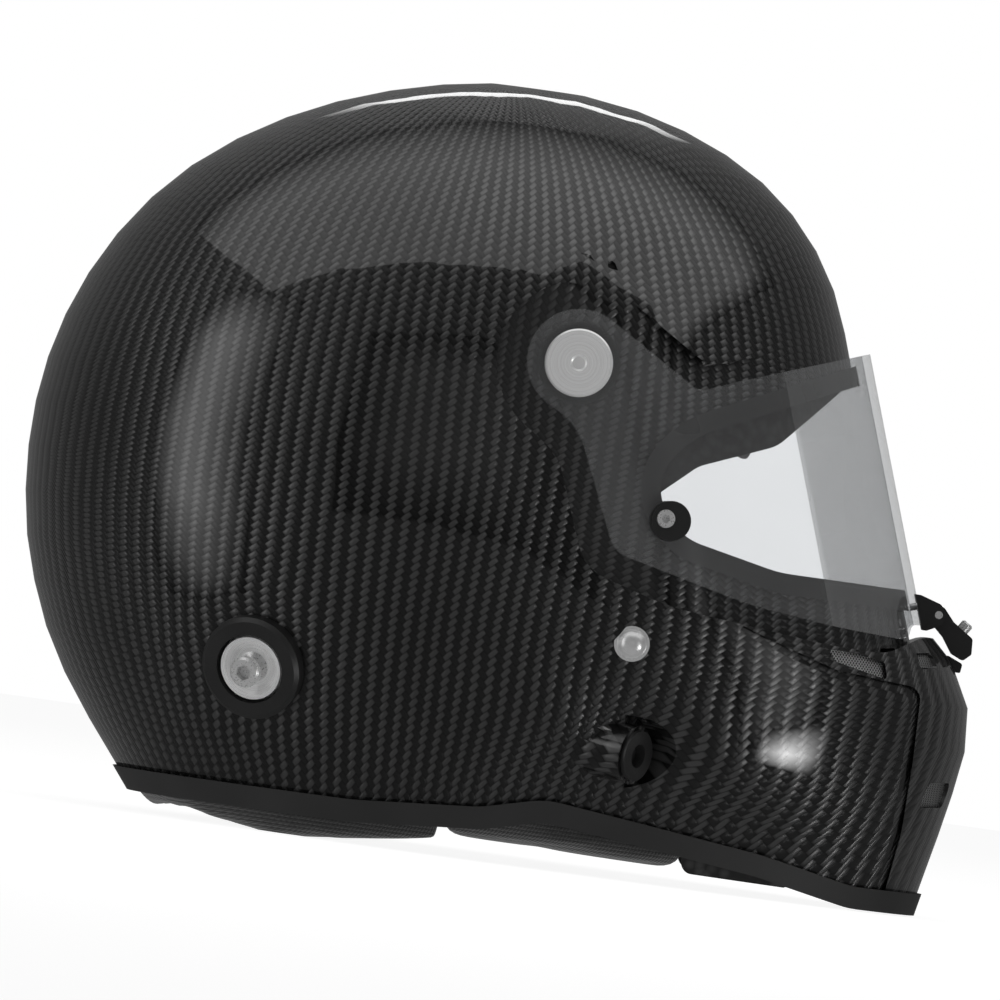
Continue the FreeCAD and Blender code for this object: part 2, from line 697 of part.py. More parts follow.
def make_visor():
    """Clear visor: flat arms, side windows, a bend line and a curved front."""
    thickness = mm("visor_thickness")
    blank = visor_core(0).cut(visor_core(thickness)).common(side_block("visor_edge"))
    bores = []
    for name, side in SIDES:
        bore = mm("pivot_bush") + RUNNING_FIT
        bores.append(axis_block(PIVOT, Vector(0, side, 0), bore, 0, REACH))
        base, normal = tear_frame(side)
        bores.append(axis_block(base, normal, mm("tear_screw"), -thickness * 2, thickness))
    for side in (RIGHT, LEFT):
        bores.append(latch_screw_hole(side))
    add("visor", blank.cut(bores))


def latch_screw_seat(side):
    """Where a latch screw crosses the visor's outer face."""
    foot = Vector(0, side * mm("latch_screw_spread"), mm("visor_plan_height"))
    return foot + VISOR_OUT * mm("visor_front") - VISOR_UP * mm("latch_screw_drop")


def latch_screw_hole(side):
    depth = 2 * (mm("visor_thickness") + mm("latch_plate"))
    return axis_block(latch_screw_seat(side), VISOR_OUT, mm("latch_screw"), -depth, depth)


def pivot_plate(outward):
    """Round plate that lies on the floor of the recess and follows its bend."""
    floor = mm("visor_thickness") + mm("visor_gap")
    layer = visor_core(floor - mm("pivot_plate_height")).cut(visor_core(floor))
    bore = axis_block(PIVOT, outward, mm("pivot_shank") + RUNNING_FIT, 0, REACH)
    return layer.common(axis_block(PIVOT, outward, mm("pivot_plate"), 0, REACH)).cut(bore)


def make_pivots():
    """Pivot screw, bush, base plate and nut of each visor arm."""
    lift = "visor_arm_side + face_gap"
    for name, side in SIDES:
        outward = Vector(0, side, 0)
        place = {"x": "pivot_x", "z": "pivot_z"}
        screw = turned(f"visor_pivot_screw_{name}", (
            ("0", "0 - pivot_shank_length"), ("pivot_shank", "0 - pivot_shank_length"),
            ("pivot_shank", "0"), ("pivot_head", "0"), ("pivot_head", "pivot_head_height - 0.6"),
            ("pivot_head - 0.6", "pivot_head_height"), ("2.9", "pivot_head_height"),
            ("2.2", "pivot_head_height - 1.2"), ("0", "pivot_head_height - 1.2"),
        ))
        stand(screw, PIVOT + outward * total(lift), outward, place)
        floor = mm("visor_arm_side") - mm("visor_thickness") - mm("visor_gap")
        add(f"visor_pivot_plate_{name}", pivot_plate(outward))
        bush_foot = floor + mm("pivot_plate_height")
        ring = cylinder(f"visor_pivot_bush_{name}_round", "pivot_bush",
                        "visor_thickness + visor_gap + face_gap - pivot_plate_height")
        bore = cylinder(f"visor_pivot_bush_{name}_bore", "pivot_shank + running_fit",
                        "visor_thickness + visor_gap + face_gap")
        stand(cut_of(f"visor_pivot_bush_{name}", ring, bore), PIVOT + outward * bush_foot, outward, place)
        nut_top = floor - WALL
        hexagon_nut(f"visor_pivot_nut_{name}", "pivot_nut", "pivot_nut_height",
                    "pivot_shank + running_fit", PIVOT + outward * nut_top, -outward, place)


def make_tear_off_posts():
    """Eccentric post and screw on each side window."""
    for name, side in SIDES:
        base, normal = tear_frame(side)
        base = base + normal * FACE_GAP
        label = f"tear_off_post_{name}"
        post = cylinder(label + "_round", "tear_post", "tear_post_height")
        post.setExpression("Placement.Base.x", bound("tear_throw"))
        hole = cylinder(label + "_hole", "tear_screw + running_fit", "tear_post_height")
        sink = cylinder(label + "_sink", "tear_screw_head + face_gap", "tear_post_height")
        sink.setExpression("Placement.Base.z", bound("tear_post_height - 1"))
        stand(cut_of(label, cut_of(label + "_drilled", post, hole), sink), base, normal)
        screw = turned(f"tear_off_screw_{name}", (
            ("0", "0 - visor_thickness"), ("tear_screw", "0 - visor_thickness"),
            ("tear_screw", "tear_post_height - 0.95"),
            ("tear_screw_head", "tear_post_height - 0.95"),
            ("tear_screw_head", "tear_post_height - 0.95 + tear_screw_head_height"),
            ("0", "tear_post_height - 0.95 + tear_screw_head_height"),
        ))
        socket(screw, "tear_post_height - 0.95 + tear_screw_head_height", 1.1, 1.6)
        stand(screw, base, normal)


def make_latch():
    """Latch in the middle of the visor: bracket, lever, pin, screws, knob and catch."""
    half = mm("latch_width") / 2
    lug = mm("latch_lug")
    bore = mm("latch_pin") + RUNNING_FIT
    pin_at = Vector(mm("latch_pin_x"), 0, mm("latch_pin_z"))
    bracket = side_block("latch_bracket", 0, half).cut(visor_core(-mm("face_gap") / 3))
    room = Part.makeBox(30, 2 * (half - lug), 30)
    seat = latch_screw_seat(0) + VISOR_OUT * mm("latch_plate")
    room.translate(Vector(0, lug - half, -15))
    room.rotate(Vector(), Vector(0, 1, 0), -math.degrees(VISOR_RAKE))
    room.translate(seat)
    bracket = bracket.cut([room, axis_block(pin_at, Vector(0, 1, 0), mm("latch_pin"), -REACH, REACH)])
    add("latch_bracket", bracket.cut([latch_screw_hole(side) for side in (RIGHT, LEFT)]))
    lever = side_block("latch_lever", 0, half - lug - 2 * FACE_GAP)
    add("latch_lever", lever.cut(axis_block(pin_at, Vector(0, 1, 0), bore, -REACH, REACH)))
    pin = turned("latch_pin", (("0", "0"), ("latch_pin", "0"), ("latch_pin", "latch_width"),
                               ("0", "latch_width")))
    stand(pin, pin_at - Vector(0, half, 0), Vector(0, 1, 0), {"x": "latch_pin_x", "z": "latch_pin_z"})
    screws = []
    for side in (RIGHT, LEFT):
        base, plate, screw = latch_screw_seat(side), mm("latch_plate"), mm("latch_screw")
        shank = axis_block(base, VISOR_OUT, screw, -mm("visor_thickness"), plate)
        head = axis_block(base, VISOR_OUT, screw * 1.8, plate, plate + 1)
        screws.append(shank.fuse(head).removeSplitter())
    add("latch_screws", Part.makeCompound(screws))
    knob = turned("latch_knob", (
        ("0", "0"), ("2.2", "0"), ("2.2", "2.6"), ("1.6", "3.2"), ("0", "3.2"),
    ))
    foot = Vector(mm("latch_knob_x"), 0, mm("latch_knob_z"))
    stand(knob, foot, Vector(0.56, 0, 0.83), {"x": "latch_knob_x", "z": "latch_knob_z"})
    catch = side_block("latch_catch", 0, mm("latch_catch_half")).cut(form(-FACE_GAP / 3))
    add("latch_catch", catch)


# Strap and anchors

def make_rivets():
    """Domed rivet that holds each end of the chin strap, with its inner washer."""
    for name, side in SIDES:
        seat, normal = on_form(mm("rivet_x"), mm("rivet_z"), side)
        outward = Vector(0, side, 0)
        centre = Vector(seat.x, 0, seat.z)
        level = abs(seat.y)
        radius, collar = mm("rivet_head"), mm("rivet_collar")
        dome_height = 3
        ball_radius = (radius ** 2 + dome_height ** 2) / (2 * dome_height)
        ball = Part.makeSphere(ball_radius, centre + outward * (level + 1.2 + dome_height - ball_radius))
        cap = ball.common(axis_block(centre, outward, radius, level, level + 9))
        rim = axis_block(centre, outward, collar, level - 4, level + 1.2)
        head = cap.fuse(rim).cut(form(0))
        strap = mm("strap_line")
        shank = axis_block(centre, outward, mm("rivet_shank"), strap - 0.1, level)
        tail = axis_block(centre, outward, mm("rivet_head"), strap - 1.4, strap - 0.1)
        rivet = head.fuse([shank, tail]).removeSplitter()
        add(f"strap_rivet_{name}", rivet)
        outside = strap + mm("strap_thickness") + 0.1
        washer = axis_block(centre, outward, mm("rivet_collar"), outside, level)
        washer = washer.common(form(WALL + 0.05))
        add(f"strap_washer_{name}",
            washer.cut(axis_block(centre, outward, mm("rivet_shank") + RUNNING_FIT, 0, REACH)))


def strap_band(path):
    """Flat strap along a (y, z, radius) path in the plane of the rivets."""
    half = mm("strap_thickness") / 2
    corners = [Vector(y, 0, z) for y, z, radius in path]
    edges, start = [], corners[0]
    for number in range(1, len(path) - 1):
        here, radius = corners[number], path[number][2]
        back, ahead = (start - here).normalize(), (corners[number + 1] - here).normalize()
        bend = back.getAngle(ahead) / 2
        cut = radius / math.tan(bend)
        middle = here + (back + ahead).normalize() * (radius / math.sin(bend) - radius)
        edges.append(Part.makeLine(start, here + back * cut))
        edges.append(Part.Arc(here + back * cut, middle, here + ahead * cut).toShape())
        start = here + ahead * cut
    edges.append(Part.makeLine(start, corners[-1]))
    outline = Part.Wire(edges).makeOffset2D(half)
    return strap_solid(Part.Face(outline))


def strap_solid(face):
    """Strap of full width from a face drawn as (y, z)."""
    width = mm("strap_width")
    face.rotate(Vector(), Vector(0, 0, 1), 90)
    face.translate(Vector(mm("rivet_x") - width / 2, 0, 0))
    return face.extrude(Vector(width, 0, 0))


def make_strap():
    """Chin strap of two webs from the rivets, closed by a pair of rings under the chin."""
    level, thick = mm("strap_level"), mm("strap_thickness")
    wall_line = mm("strap_line") + thick / 2
    hang = [(wall_line, mm("strap_top"), 0), (wall_line, 70, 12), (62, 36, 30)]
    loop_room = mm("buckle_plate") + mm("face_gap") * 4
    loop_middle = mm("buckle_back") + mm("buckle_bar") / 2
    eye = loop_room + thick / 2
    short = strap_band([(-y, z, r) for y, z, r in hang]
                       + [(-40, level, 24), (loop_middle - eye - thick, level, 0)])
    for grow, action in ((eye + thick / 2, "fuse"), (eye - thick / 2, "cut")):
        box = ((loop_middle - 2 - grow, level - grow, grow), (loop_middle + 2 + grow, level - grow, grow),
               (loop_middle + 2 + grow, level + grow, grow), (loop_middle - 2 - grow, level + grow, grow))
        lobe = strap_solid(Part.Face(rounded([(y, z, r * 0.98) for y, z, r in box])))
        short = short.fuse(lobe) if action == "fuse" else short.cut(lobe)
    fold = 2 * mm("buckle_plate")
    turn = loop_middle + 2 + eye + thick + mm("face_gap") * 4
    long_web = strap_band(hang + [
        (34, level - fold, 24), (turn, level - fold, fold * 0.98), (turn, level + fold, fold * 0.98),
        (33, level + fold, 0)])
    webs = (("right", RIGHT, short.removeSplitter()), ("left", LEFT, long_web))
    for name, side, web in webs:
        rivet = Vector(mm("rivet_x"), 0, mm("rivet_z"))
        hole = axis_block(rivet, Vector(0, side, 0), mm("rivet_shank") + FACE_GAP, 0, REACH)
        add(f"chin_strap_{name}", web.cut(hole))
    half, bar, plate = mm("buckle_half"), mm("buckle_bar"), mm("buckle_plate")
    back, front = mm("buckle_back"), mm("buckle_front")
    corners = [(-half, back, 2.8), (half, back, 2.8), (half, front, 12), (-half, front, 12)]
    outer = Part.Face(rounded([(x, y, r) for x, y, r in corners]))
    ring = outer.cut(outer.makeOffset2D(-bar))
    ring.rotate(Vector(), Vector(1, 0, 0), -90)
    for name, low in (("lower", level - plate - FACE_GAP), ("upper", level + FACE_GAP)):
        plate_face = ring.copy()
        plate_face.translate(Vector(mm("rivet_x"), 0, low - plate_face.BoundBox.ZMin))
        solid = plate_face.extrude(Vector(0, 0, plate))
        add(f"buckle_ring_{name}", solid)


def make_anchors():
    """Head restraint anchor on each side: rubber ring, cup, post and inner nut."""
    for name, side in SIDES:
        seat, normal = on_form(mm("anchor_x"), mm("anchor_z"), side)
        ring = axis_block(seat, normal, mm("anchor_ring"), -4, mm("anchor_ring_height"))
        edge = [e for e in ring.Edges if abs(e.BoundBox.DiagonalLength) > 20]
        top_edge = max(edge, key=lambda e: (e.CenterOfMass - seat).dot(normal))
        ring = ring.makeChamfer(1.4, [top_edge])
        ring = ring.cut([axis_block(seat, normal, mm("anchor_cup") + FACE_GAP, -9, 9), form(0)])
        add(f"anchor_ring_{name}", ring)
        cup = turned(f"anchor_cup_{name}", (
            ("anchor_stem + running_fit", "0"), ("anchor_cup", "0"),
            ("anchor_cup - 1", "anchor_cup_height + 0.6"),
            ("anchor_cup - 2.4", "anchor_cup_height + 0.6"), ("anchor_cup - 5.4", "1.6"),
            ("anchor_stem + running_fit", "1.6"),
        ))
        stand(cup, seat - normal * (mm("anchor_seat") - 0.02), normal)
        post = turned(f"anchor_post_{name}", (
            ("0", "0 - wall - anchor_nut_height - 1"),
            ("anchor_stem", "0 - wall - anchor_nut_height - 1"), ("anchor_stem", "0.85"),
            ("anchor_head", "0.85"), ("anchor_stem", "2.6"),
            ("anchor_stem", "anchor_reach - 3.6"), ("anchor_head", "anchor_reach - 2.8"),
            ("anchor_head", "anchor_reach - 0.8"), ("anchor_head - 0.8", "anchor_reach"),
            ("0", "anchor_reach"),
        ))
        socket(post, "anchor_reach", 2.6, 2.9)
        stand(post, seat, normal)
        nut_top = seat - normal * (WALL + mm("anchor_nut_drop"))
        hexagon_nut(f"anchor_nut_{name}", "anchor_nut", "anchor_nut_height",
                    "anchor_stem + running_fit", nut_top, -normal)


def make_ports():
    """Rubber plug in the port of each side."""
    for name, side in SIDES:
        face, axis = port_frame(side)
        plug = turned(f"port_plug_{name}", (
            ("0", "0 - port_depth + 2"), ("port_bore - edge_fit", "0 - port_depth + 2"),
            ("port_bore - edge_fit", "0.05"), ("plug_flange", "0.05"), ("plug_flange", "1.6"),
            ("4.2", "1.6"), ("3.6", "0 - 2"), ("0", "0 - 2"),
        ))
        stand(plug, face, axis)


def make_vents():
    """Curved mesh panels set in the vents."""
    sheet_of_mesh = form(mm("mesh_depth")).cut(form(mm("mesh_depth") + mm("mesh_thickness")))
    for name, side in SIDES:
        inside = -mm("edge_fit")
        side_cut = side_block("side_vent", inside).common(half_space(side))
        add(f"side_vent_mesh_{name}", sheet_of_mesh.common(side_cut))
        for vent in ("lower", "upper"):
            block = front_block(f"{vent}_vent", side, inside)
            add(f"{vent}_vent_mesh_{name}", sheet_of_mesh.common(block))


# Lining

def fixing_space(grow):
    """Room for the nuts, washers and strap ends inside the shell."""
    spaces = []
    floor = mm("visor_arm_side") - mm("visor_thickness") - mm("visor_gap")
    for name, side in SIDES:
        outward = Vector(0, side, 0)
        low, high = floor - WALL - 13.5, floor
        spaces.append(axis_block(PIVOT, outward, mm("pivot_nut") + grow, low, high))
        seat, normal = on_form(mm("anchor_x"), mm("anchor_z"), side)
        spaces.append(axis_block(seat, normal, mm("anchor_nut") + grow, -WALL - 8, 0))
        rivet = Vector(mm("rivet_x"), 0, mm("rivet_z"))
        spaces.append(axis_block(rivet, outward, mm("rivet_collar") + grow, mm("strap_line") - 3, REACH))
    return spaces


def make_lining():
    """Foam liners, comfort liner, cheek pads and neck roll inside the shell."""
    cavity = foam_skin(WALL + SEAT_GAP)
    edges = edge_space()
    clear = edges + fixing_space(1)
    liner_in = WALL + SEAT_GAP + mm("liner_thickness")
    liner = cavity.cut(foam_form(liner_in)).common(side_block("liner")).cut(clear)
    add("impact_liner", max(liner.Solids, key=lambda solid: solid.Volume))
    comfort = foam_form(liner_in + SEAT_GAP).cut(foam_form(liner_in + SEAT_GAP + mm("comfort_thickness")))
    add("comfort_liner", comfort.common(side_block("comfort")))
    chin = cavity.cut(foam_form(WALL + SEAT_GAP + mm("chin_liner_thickness")))
    chin = chin.common(side_block("chin_liner")).cut(clear)
    add("chin_liner", max(chin.Solids, key=lambda solid: solid.Volume))
    cheeks = cavity.cut(foam_form(WALL + SEAT_GAP + mm("cheek_thickness")))
    cheeks = cheeks.common(side_block("cheek")).cut(clear + [side_block("strap_window")])
    for name, side in SIDES:
        pad = cheeks.common(half_space(side))
        add(f"cheek_pad_{name}", max(pad.Solids, key=lambda solid: solid.Volume))
    neck = cavity.cut(foam_form(WALL + SEAT_GAP + mm("neck_thickness"))).common(side_block("neck"))
    add("neck_roll", max(neck.cut(clear).Solids, key=lambda solid: solid.Volume))


def check_and_write():
    """Stop on a failed object, else write one file for each sub-part."""
    doc.recompute()
    for item in doc.Objects:
        if "Invalid" in item.State or "Error" in item.State:
            raise RuntimeError(f"{item.Label} failed: {item.State}")
    for piece in parts:
        if piece.Shape.isNull() or not piece.Shape.isValid() or not piece.Shape.Solids:
            raise RuntimeError(f"{piece.Label} has no valid shape")
    os.makedirs("parts", exist_ok=True)
    for piece in parts:
        piece.Shape.exportStep(os.path.join("parts", piece.Label + ".step"))
    print(len(parts), "nodes written")


make_shell()
make_trim()
make_seal()
make_visor()
make_pivots()
make_tear_off_posts()
make_latch()
make_rivets()
make_strap()
make_anchors()
make_ports()
make_vents()
make_lining()
check_and_write()
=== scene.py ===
import math

import bmesh
import bpy
import numpy as np
from mathutils import Matrix, Vector


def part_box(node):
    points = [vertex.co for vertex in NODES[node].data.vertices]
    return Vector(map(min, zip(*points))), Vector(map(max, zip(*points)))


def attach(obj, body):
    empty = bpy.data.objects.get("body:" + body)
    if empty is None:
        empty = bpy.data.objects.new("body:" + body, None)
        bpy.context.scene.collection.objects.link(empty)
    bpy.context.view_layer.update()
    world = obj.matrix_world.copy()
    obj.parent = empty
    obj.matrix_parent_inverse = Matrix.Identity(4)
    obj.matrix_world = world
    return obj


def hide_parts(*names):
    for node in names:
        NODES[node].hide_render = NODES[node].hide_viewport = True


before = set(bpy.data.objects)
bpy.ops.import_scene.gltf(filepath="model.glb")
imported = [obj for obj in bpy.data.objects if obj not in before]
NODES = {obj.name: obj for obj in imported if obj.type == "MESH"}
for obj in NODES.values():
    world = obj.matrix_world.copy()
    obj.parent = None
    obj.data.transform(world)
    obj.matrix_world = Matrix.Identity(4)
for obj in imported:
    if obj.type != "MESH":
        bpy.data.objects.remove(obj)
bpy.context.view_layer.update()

SCENE = bpy.context.scene
SIDES = ("right", "left")

# Camera: the photograph shows the right side, rolled by the pitch of the helmet in it
PHOTO_ROLL = math.radians(7.84)
PHOTO_WIDTH = 0.355
PHOTO_MIDDLE = Vector((-0.0035, 0.0, 0.1262))
CAMERA_DISTANCE = 8.0
SENSOR = 36.0
CLIP_END = 60.0

# Carbon cloth: width of a thread, the round form that it is laid over, and how far it wanders
TOW = 0.00203
CLOTH_RADIUS = 0.130
CLOTH_MIDDLE = Vector((-0.02, 0.0, 0.130))
CLOTH_DEPTH = 0.004
CLOTH_DRIFT_ROUND, CLOTH_DRIFT_UP = 0.05, 0.03
TWILL_REPEAT = 4.0
# Thread tones: the weft is painted lighter than the warp, a painted sheen on the same black fibre,
# and the gaps where the threads dip are painted darker, a painted shade
WARP_TONE, WEFT_PAINTED_SHEEN_TONE, GAP_PAINTED_SHADE_TONE = 0.018, 0.100, 0.006

# Other materials: range of a noise's values, and sizes of wire, knit and webbing
NOISE_LOW, NOISE_HIGH = 0.3, 0.7
GLOSS_SHARE = 0.4
WIRE_PITCH = 0.0011
WIRE_LEAN = 0.6
WIRE_EDGE = 0.88
KNIT_RIB = 0.0014
KNIT_LEAN = 0.7
WEB_COLUMN, WEB_ROW, WEB_SLOPE = 0.0016, 0.0009, 0.0012


# Node helpers

class Tree:
    """Node tree of a material or world, with short calls for its nodes."""

    def __init__(self, owner, output="ShaderNodeOutputMaterial"):
        self.owner = owner
        owner.use_nodes = True
        self.nodes = owner.node_tree.nodes
        self.links = owner.node_tree.links
        self.nodes.clear()
        self.out = self.nodes.new(output)

    def put(self, socket, value):
        """Link a socket, or set a plain number or colour."""
        if isinstance(value, bpy.types.NodeSocket):
            self.links.new(value, socket)
        else:
            socket.default_value = value

    def add(self, kind, inputs=None, **settings):
        made = self.nodes.new(kind)
        for name, value in settings.items():
            setattr(made, name, value)
        for name, value in (inputs or {}).items():
            self.put(made.inputs[name], value)
        return made

    def math(self, operation, *values):
        return self.add("ShaderNodeMath", dict(enumerate(values)), operation=operation).outputs[0]

    def vector(self, operation, *values):
        inputs = dict(enumerate(values))
        return self.add("ShaderNodeVectorMath", inputs, operation=operation).outputs[0]

    def measure(self, operation, *values):
        """Vector operation whose result is one number."""
        inputs = dict(enumerate(values))
        return self.add("ShaderNodeVectorMath", inputs, operation=operation).outputs["Value"]

    def place(self):
        """Place on the piece, in the row frame at rest."""
        return self.add("ShaderNodeTexCoord").outputs["Object"]

    def axes(self, place):
        split = self.add("ShaderNodeSeparateXYZ", {"Vector": place})
        return split.outputs[0], split.outputs[1], split.outputs[2]

    def join(self, x, y, z):
        return self.add("ShaderNodeCombineXYZ", {"X": x, "Y": y, "Z": z}).outputs[0]

    def noise(self, place, scale, detail=2.0, roughness=0.5):
        made = self.add("ShaderNodeTexNoise", {
            "Vector": place, "Scale": scale, "Detail": detail, "Roughness": roughness})
        return made.outputs["Fac"]

    def mix(self, share, first, second, kind="RGBA"):
        """Blend of two colours by a share."""
        made = self.add("ShaderNodeMix", {"Factor": share, "A": first, "B": second}, data_type=kind)
        return made.outputs["Result"]

    def blend(self, share, first, second):
        """Blend of two numbers by a share."""
        return self.mix(share, first, second, "FLOAT")

    def mix_shaders(self, share, first, second):
        return self.add("ShaderNodeMixShader", {0: share, 1: first, 2: second}).outputs[0]

    def span(self, value, low, high, to_low, to_high):
        """Value moved from one range to another, kept inside it."""
        made = self.add("ShaderNodeMapRange", {
            "Value": value, "From Min": low, "From Max": high,
            "To Min": to_low, "To Max": to_high}, clamp=True)
        return made.outputs["Result"]

    def vary(self, noise, low, high):
        """Number that a noise moves from low to high."""
        return self.span(noise, NOISE_LOW, NOISE_HIGH, low, high)

    def bump(self, height, distance, strength):
        made = self.add("ShaderNodeBump", {
            "Height": height, "Distance": distance, "Strength": strength})
        return made.outputs["Normal"]

    def arch(self, share):
        """0 at both ends of a share from 0 to 1, and 1 at its middle."""
        centred = self.math("SUBTRACT", self.math("MULTIPLY", share, 2.0), 1.0)
        return self.math("SUBTRACT", 1.0, self.math("MULTIPLY", centred, centred))

    def arches(self, value):
        """Row of arches, one for each whole step of a value."""
        return self.arch(self.math("FRACT", value))

    def finish(self, shader):
        self.links.new(shader, self.out.inputs["Surface"])
        return self.owner


def material_tree(name):
    return Tree(bpy.data.materials.new(name))


def grey(value):
    return (value, value, value, 1.0)


def principled(tree, **inputs):
    """Principled shader; a name's underscores stand for its spaces."""
    values = {name.replace("_", " "): value for name, value in inputs.items()}
    return tree.add("ShaderNodeBsdfPrincipled", values).outputs["BSDF"]


# Materials

def cloth_axes(tree, place):
    """Threads' own axes over the shell, counted in threads: warp and weft on the bias."""
    x, y, z = tree.axes(place)
    drift = tree.math("SUBTRACT", tree.noise(place, 9.0, 1.0), 0.5)
    depth = tree.math("ADD", tree.math("ABSOLUTE", y), CLOTH_DEPTH)

    def angle(value, middle, wander):
        turn = tree.math("ARCTAN2", tree.math("SUBTRACT", value, middle), depth)
        return tree.math("ADD", turn, tree.math("MULTIPLY", drift, wander))

    across = angle(x, CLOTH_MIDDLE.x, CLOTH_DRIFT_ROUND)
    upward = angle(z, CLOTH_MIDDLE.z, CLOTH_DRIFT_UP)
    scale = CLOTH_RADIUS / TOW / math.sqrt(2)
    warp = tree.math("MULTIPLY", tree.math("ADD", upward, across), scale)
    weft = tree.math("MULTIPLY", tree.math("SUBTRACT", upward, across), scale)
    return warp, weft


def twill(tree, place):
    """2/2 twill: mask of the threads that lie on top one way, and the height of the cloth."""
    one, two = cloth_axes(tree, place)
    cell = tree.math("SUBTRACT", tree.math("FLOOR", one), tree.math("FLOOR", two))
    step = tree.math("FLOORED_MODULO", cell, TWILL_REPEAT)
    weft = tree.math("LESS_THAN", step, 1.5)
    part_one, part_two = tree.math("FRACT", one), tree.math("FRACT", two)
    weft_run = tree.math("MULTIPLY", tree.math("ADD", part_one, step), 0.5)
    steps_left = tree.math("SUBTRACT", TWILL_REPEAT - 1, step)
    warp_run = tree.math("MULTIPLY", tree.math("ADD", part_two, steps_left), 0.5)
    weft_height = tree.math("MULTIPLY", tree.arch(part_two), tree.arch(weft_run))
    warp_height = tree.math("MULTIPLY", tree.arch(part_one), tree.arch(warp_run))
    return weft, tree.blend(weft, warp_height, weft_height)


def make_carbon():
    """Black carbon twill under a clear coat, its threads catching the light along their run, with a
    painted sheen on the weft threads and painted shade in the gaps between threads.
    """
    tree = material_tree("carbon_shell")
    place = tree.place()
    weft, height = twill(tree, place)
    lustre = tree.span(tree.noise(place, 14.0, 1.0), 0.35, 0.65, 0.75, 1.15)
    # Painted sheen: the weft threads are painted lighter than the warp, though both are the same
    # fibre
    thread = tree.mix(weft, grey(WARP_TONE), grey(WEFT_PAINTED_SHEEN_TONE))
    # Painted shade: darker where the threads dip, in the gaps between them
    thread = tree.mix(tree.span(height, 0.0, 0.5, 0.75, 0.0), thread, grey(GAP_PAINTED_SHADE_TONE))
    colour = tree.vector("MULTIPLY", thread, tree.join(lustre, lustre, lustre))
    fibre = tree.vector("NORMALIZE", tree.join(tree.blend(weft, 1.0, -1.0), 0.0, 1.0))
    shader = principled(
        tree, Base_Color=colour, Metallic=0.85, Roughness=0.42, Anisotropic=0.7, Tangent=fibre,
        Normal=tree.bump(height, 0.00035, 0.8),
        Coat_Weight=1.0, Coat_Roughness=0.03, Coat_IOR=1.5)
    return tree.finish(shader)


def make_rubber(name, tone, roughness):
    """Rubber, a little uneven in tone and gloss, with a fine grain."""
    tree = material_tree(name)
    place = tree.place()
    fine = tree.noise(place, 900.0, 3.0)
    wide = tree.noise(place, 40.0)
    shader = principled(
        tree, Base_Color=tree.mix(wide, grey(tone * 0.8), grey(tone * 1.3)),
        Roughness=tree.vary(wide, roughness - 0.06, roughness + 0.06),
        Normal=tree.bump(fine, 0.00006, 0.5))
    return tree.finish(shader)


def make_clear():
    """Clear polycarbonate: mostly see-through, with its gloss and a thin haze."""
    tree = material_tree("clear_visor")
    wide = tree.noise(tree.place(), 22.0, 3.0)
    clear = tree.add("ShaderNodeBsdfTransparent", {"Color": (0.965, 0.97, 0.975, 1)}).outputs[0]
    gloss = tree.add("ShaderNodeBsdfGlossy", {
        "Color": grey(1.0), "Roughness": tree.vary(wide, 0.015, 0.03)}).outputs[0]
    haze = tree.add("ShaderNodeBsdfDiffuse", {"Color": grey(0.75)}).outputs[0]
    fresnel = tree.add("ShaderNodeFresnel", {"IOR": 1.35}).outputs[0]
    body = tree.mix_shaders(tree.vary(wide, 0.035, 0.05), clear, haze)
    share = tree.math("MULTIPLY", fresnel, GLOSS_SHARE)
    return tree.finish(tree.mix_shaders(share, body, gloss))


def make_turned(name, tone, middle, axis):
    """Turned metal: fine rings round the piece's axis."""
    tree = material_tree(name)
    place = tree.vector("SUBTRACT", tree.place(), middle)
    along = tree.measure("DOT_PRODUCT", place, axis)
    line = tree.add("ShaderNodeVectorMath", {0: axis, "Scale": along}, operation="SCALE")
    off = tree.vector("SUBTRACT", place, line.outputs[0])
    rings = tree.noise(tree.join(tree.measure("LENGTH", off), 0.0, 0.0), 9000.0)
    shader = principled(
        tree, Base_Color=tree.mix(rings, grey(tone * 0.88), grey(tone)), Metallic=0.55,
        Roughness=tree.vary(rings, 0.24, 0.34), Anisotropic=0.6,
        Tangent=tree.vector("CROSS_PRODUCT", off, axis), Normal=tree.bump(rings, 0.00002, 0.6))
    return tree.finish(shader)


def make_metal(name, tone, roughness):
    """Satin metal with a fine grain."""
    tree = material_tree(name)
    fine = tree.noise(tree.place(), 1500.0, 3.0)
    shader = principled(
        tree, Base_Color=tree.mix(fine, grey(tone * 0.85), grey(tone)), Metallic=0.65,
        Roughness=tree.vary(fine, roughness - 0.05, roughness + 0.05),
        Normal=tree.bump(fine, 0.00002, 0.5))
    return tree.finish(shader)


def make_plastic(name, tone, roughness):
    """Moulded plastic with a fine grain."""
    tree = material_tree(name)
    fine = tree.noise(tree.place(), 1200.0)
    shader = principled(
        tree, Base_Color=tree.mix(fine, grey(tone * 0.8), grey(tone * 1.2)), Roughness=roughness,
        Normal=tree.bump(fine, 0.00003, 0.5))
    return tree.finish(shader)


def make_wire_mesh():
    """Woven wire: two sets of wires on the bias, and painted shade between them."""
    tree = material_tree("wire_mesh")
    x, y, z = tree.axes(tree.place())
    lean = tree.math("MULTIPLY", tree.math("ABSOLUTE", y), WIRE_LEAN)
    run = tree.math("SUBTRACT", x, lean)
    pitch = WIRE_PITCH * math.sqrt(2)
    first = tree.arches(tree.math("DIVIDE", tree.math("ADD", run, z), pitch))
    second = tree.arches(tree.math("DIVIDE", tree.math("SUBTRACT", z, run), pitch))
    wire = tree.math("MAXIMUM", first, second)
    metal = principled(tree, Base_Color=grey(0.62), Metallic=1.0, Roughness=0.3,
                       Normal=tree.bump(wire, 0.0004, 1.0))
    # Painted shade: the openings between the wires are painted near black, for the shaded space
    # behind the mesh
    dark = principled(tree, Base_Color=grey(0.01), Roughness=0.7)
    return tree.finish(tree.mix_shaders(tree.math("LESS_THAN", wire, WIRE_EDGE), metal, dark))


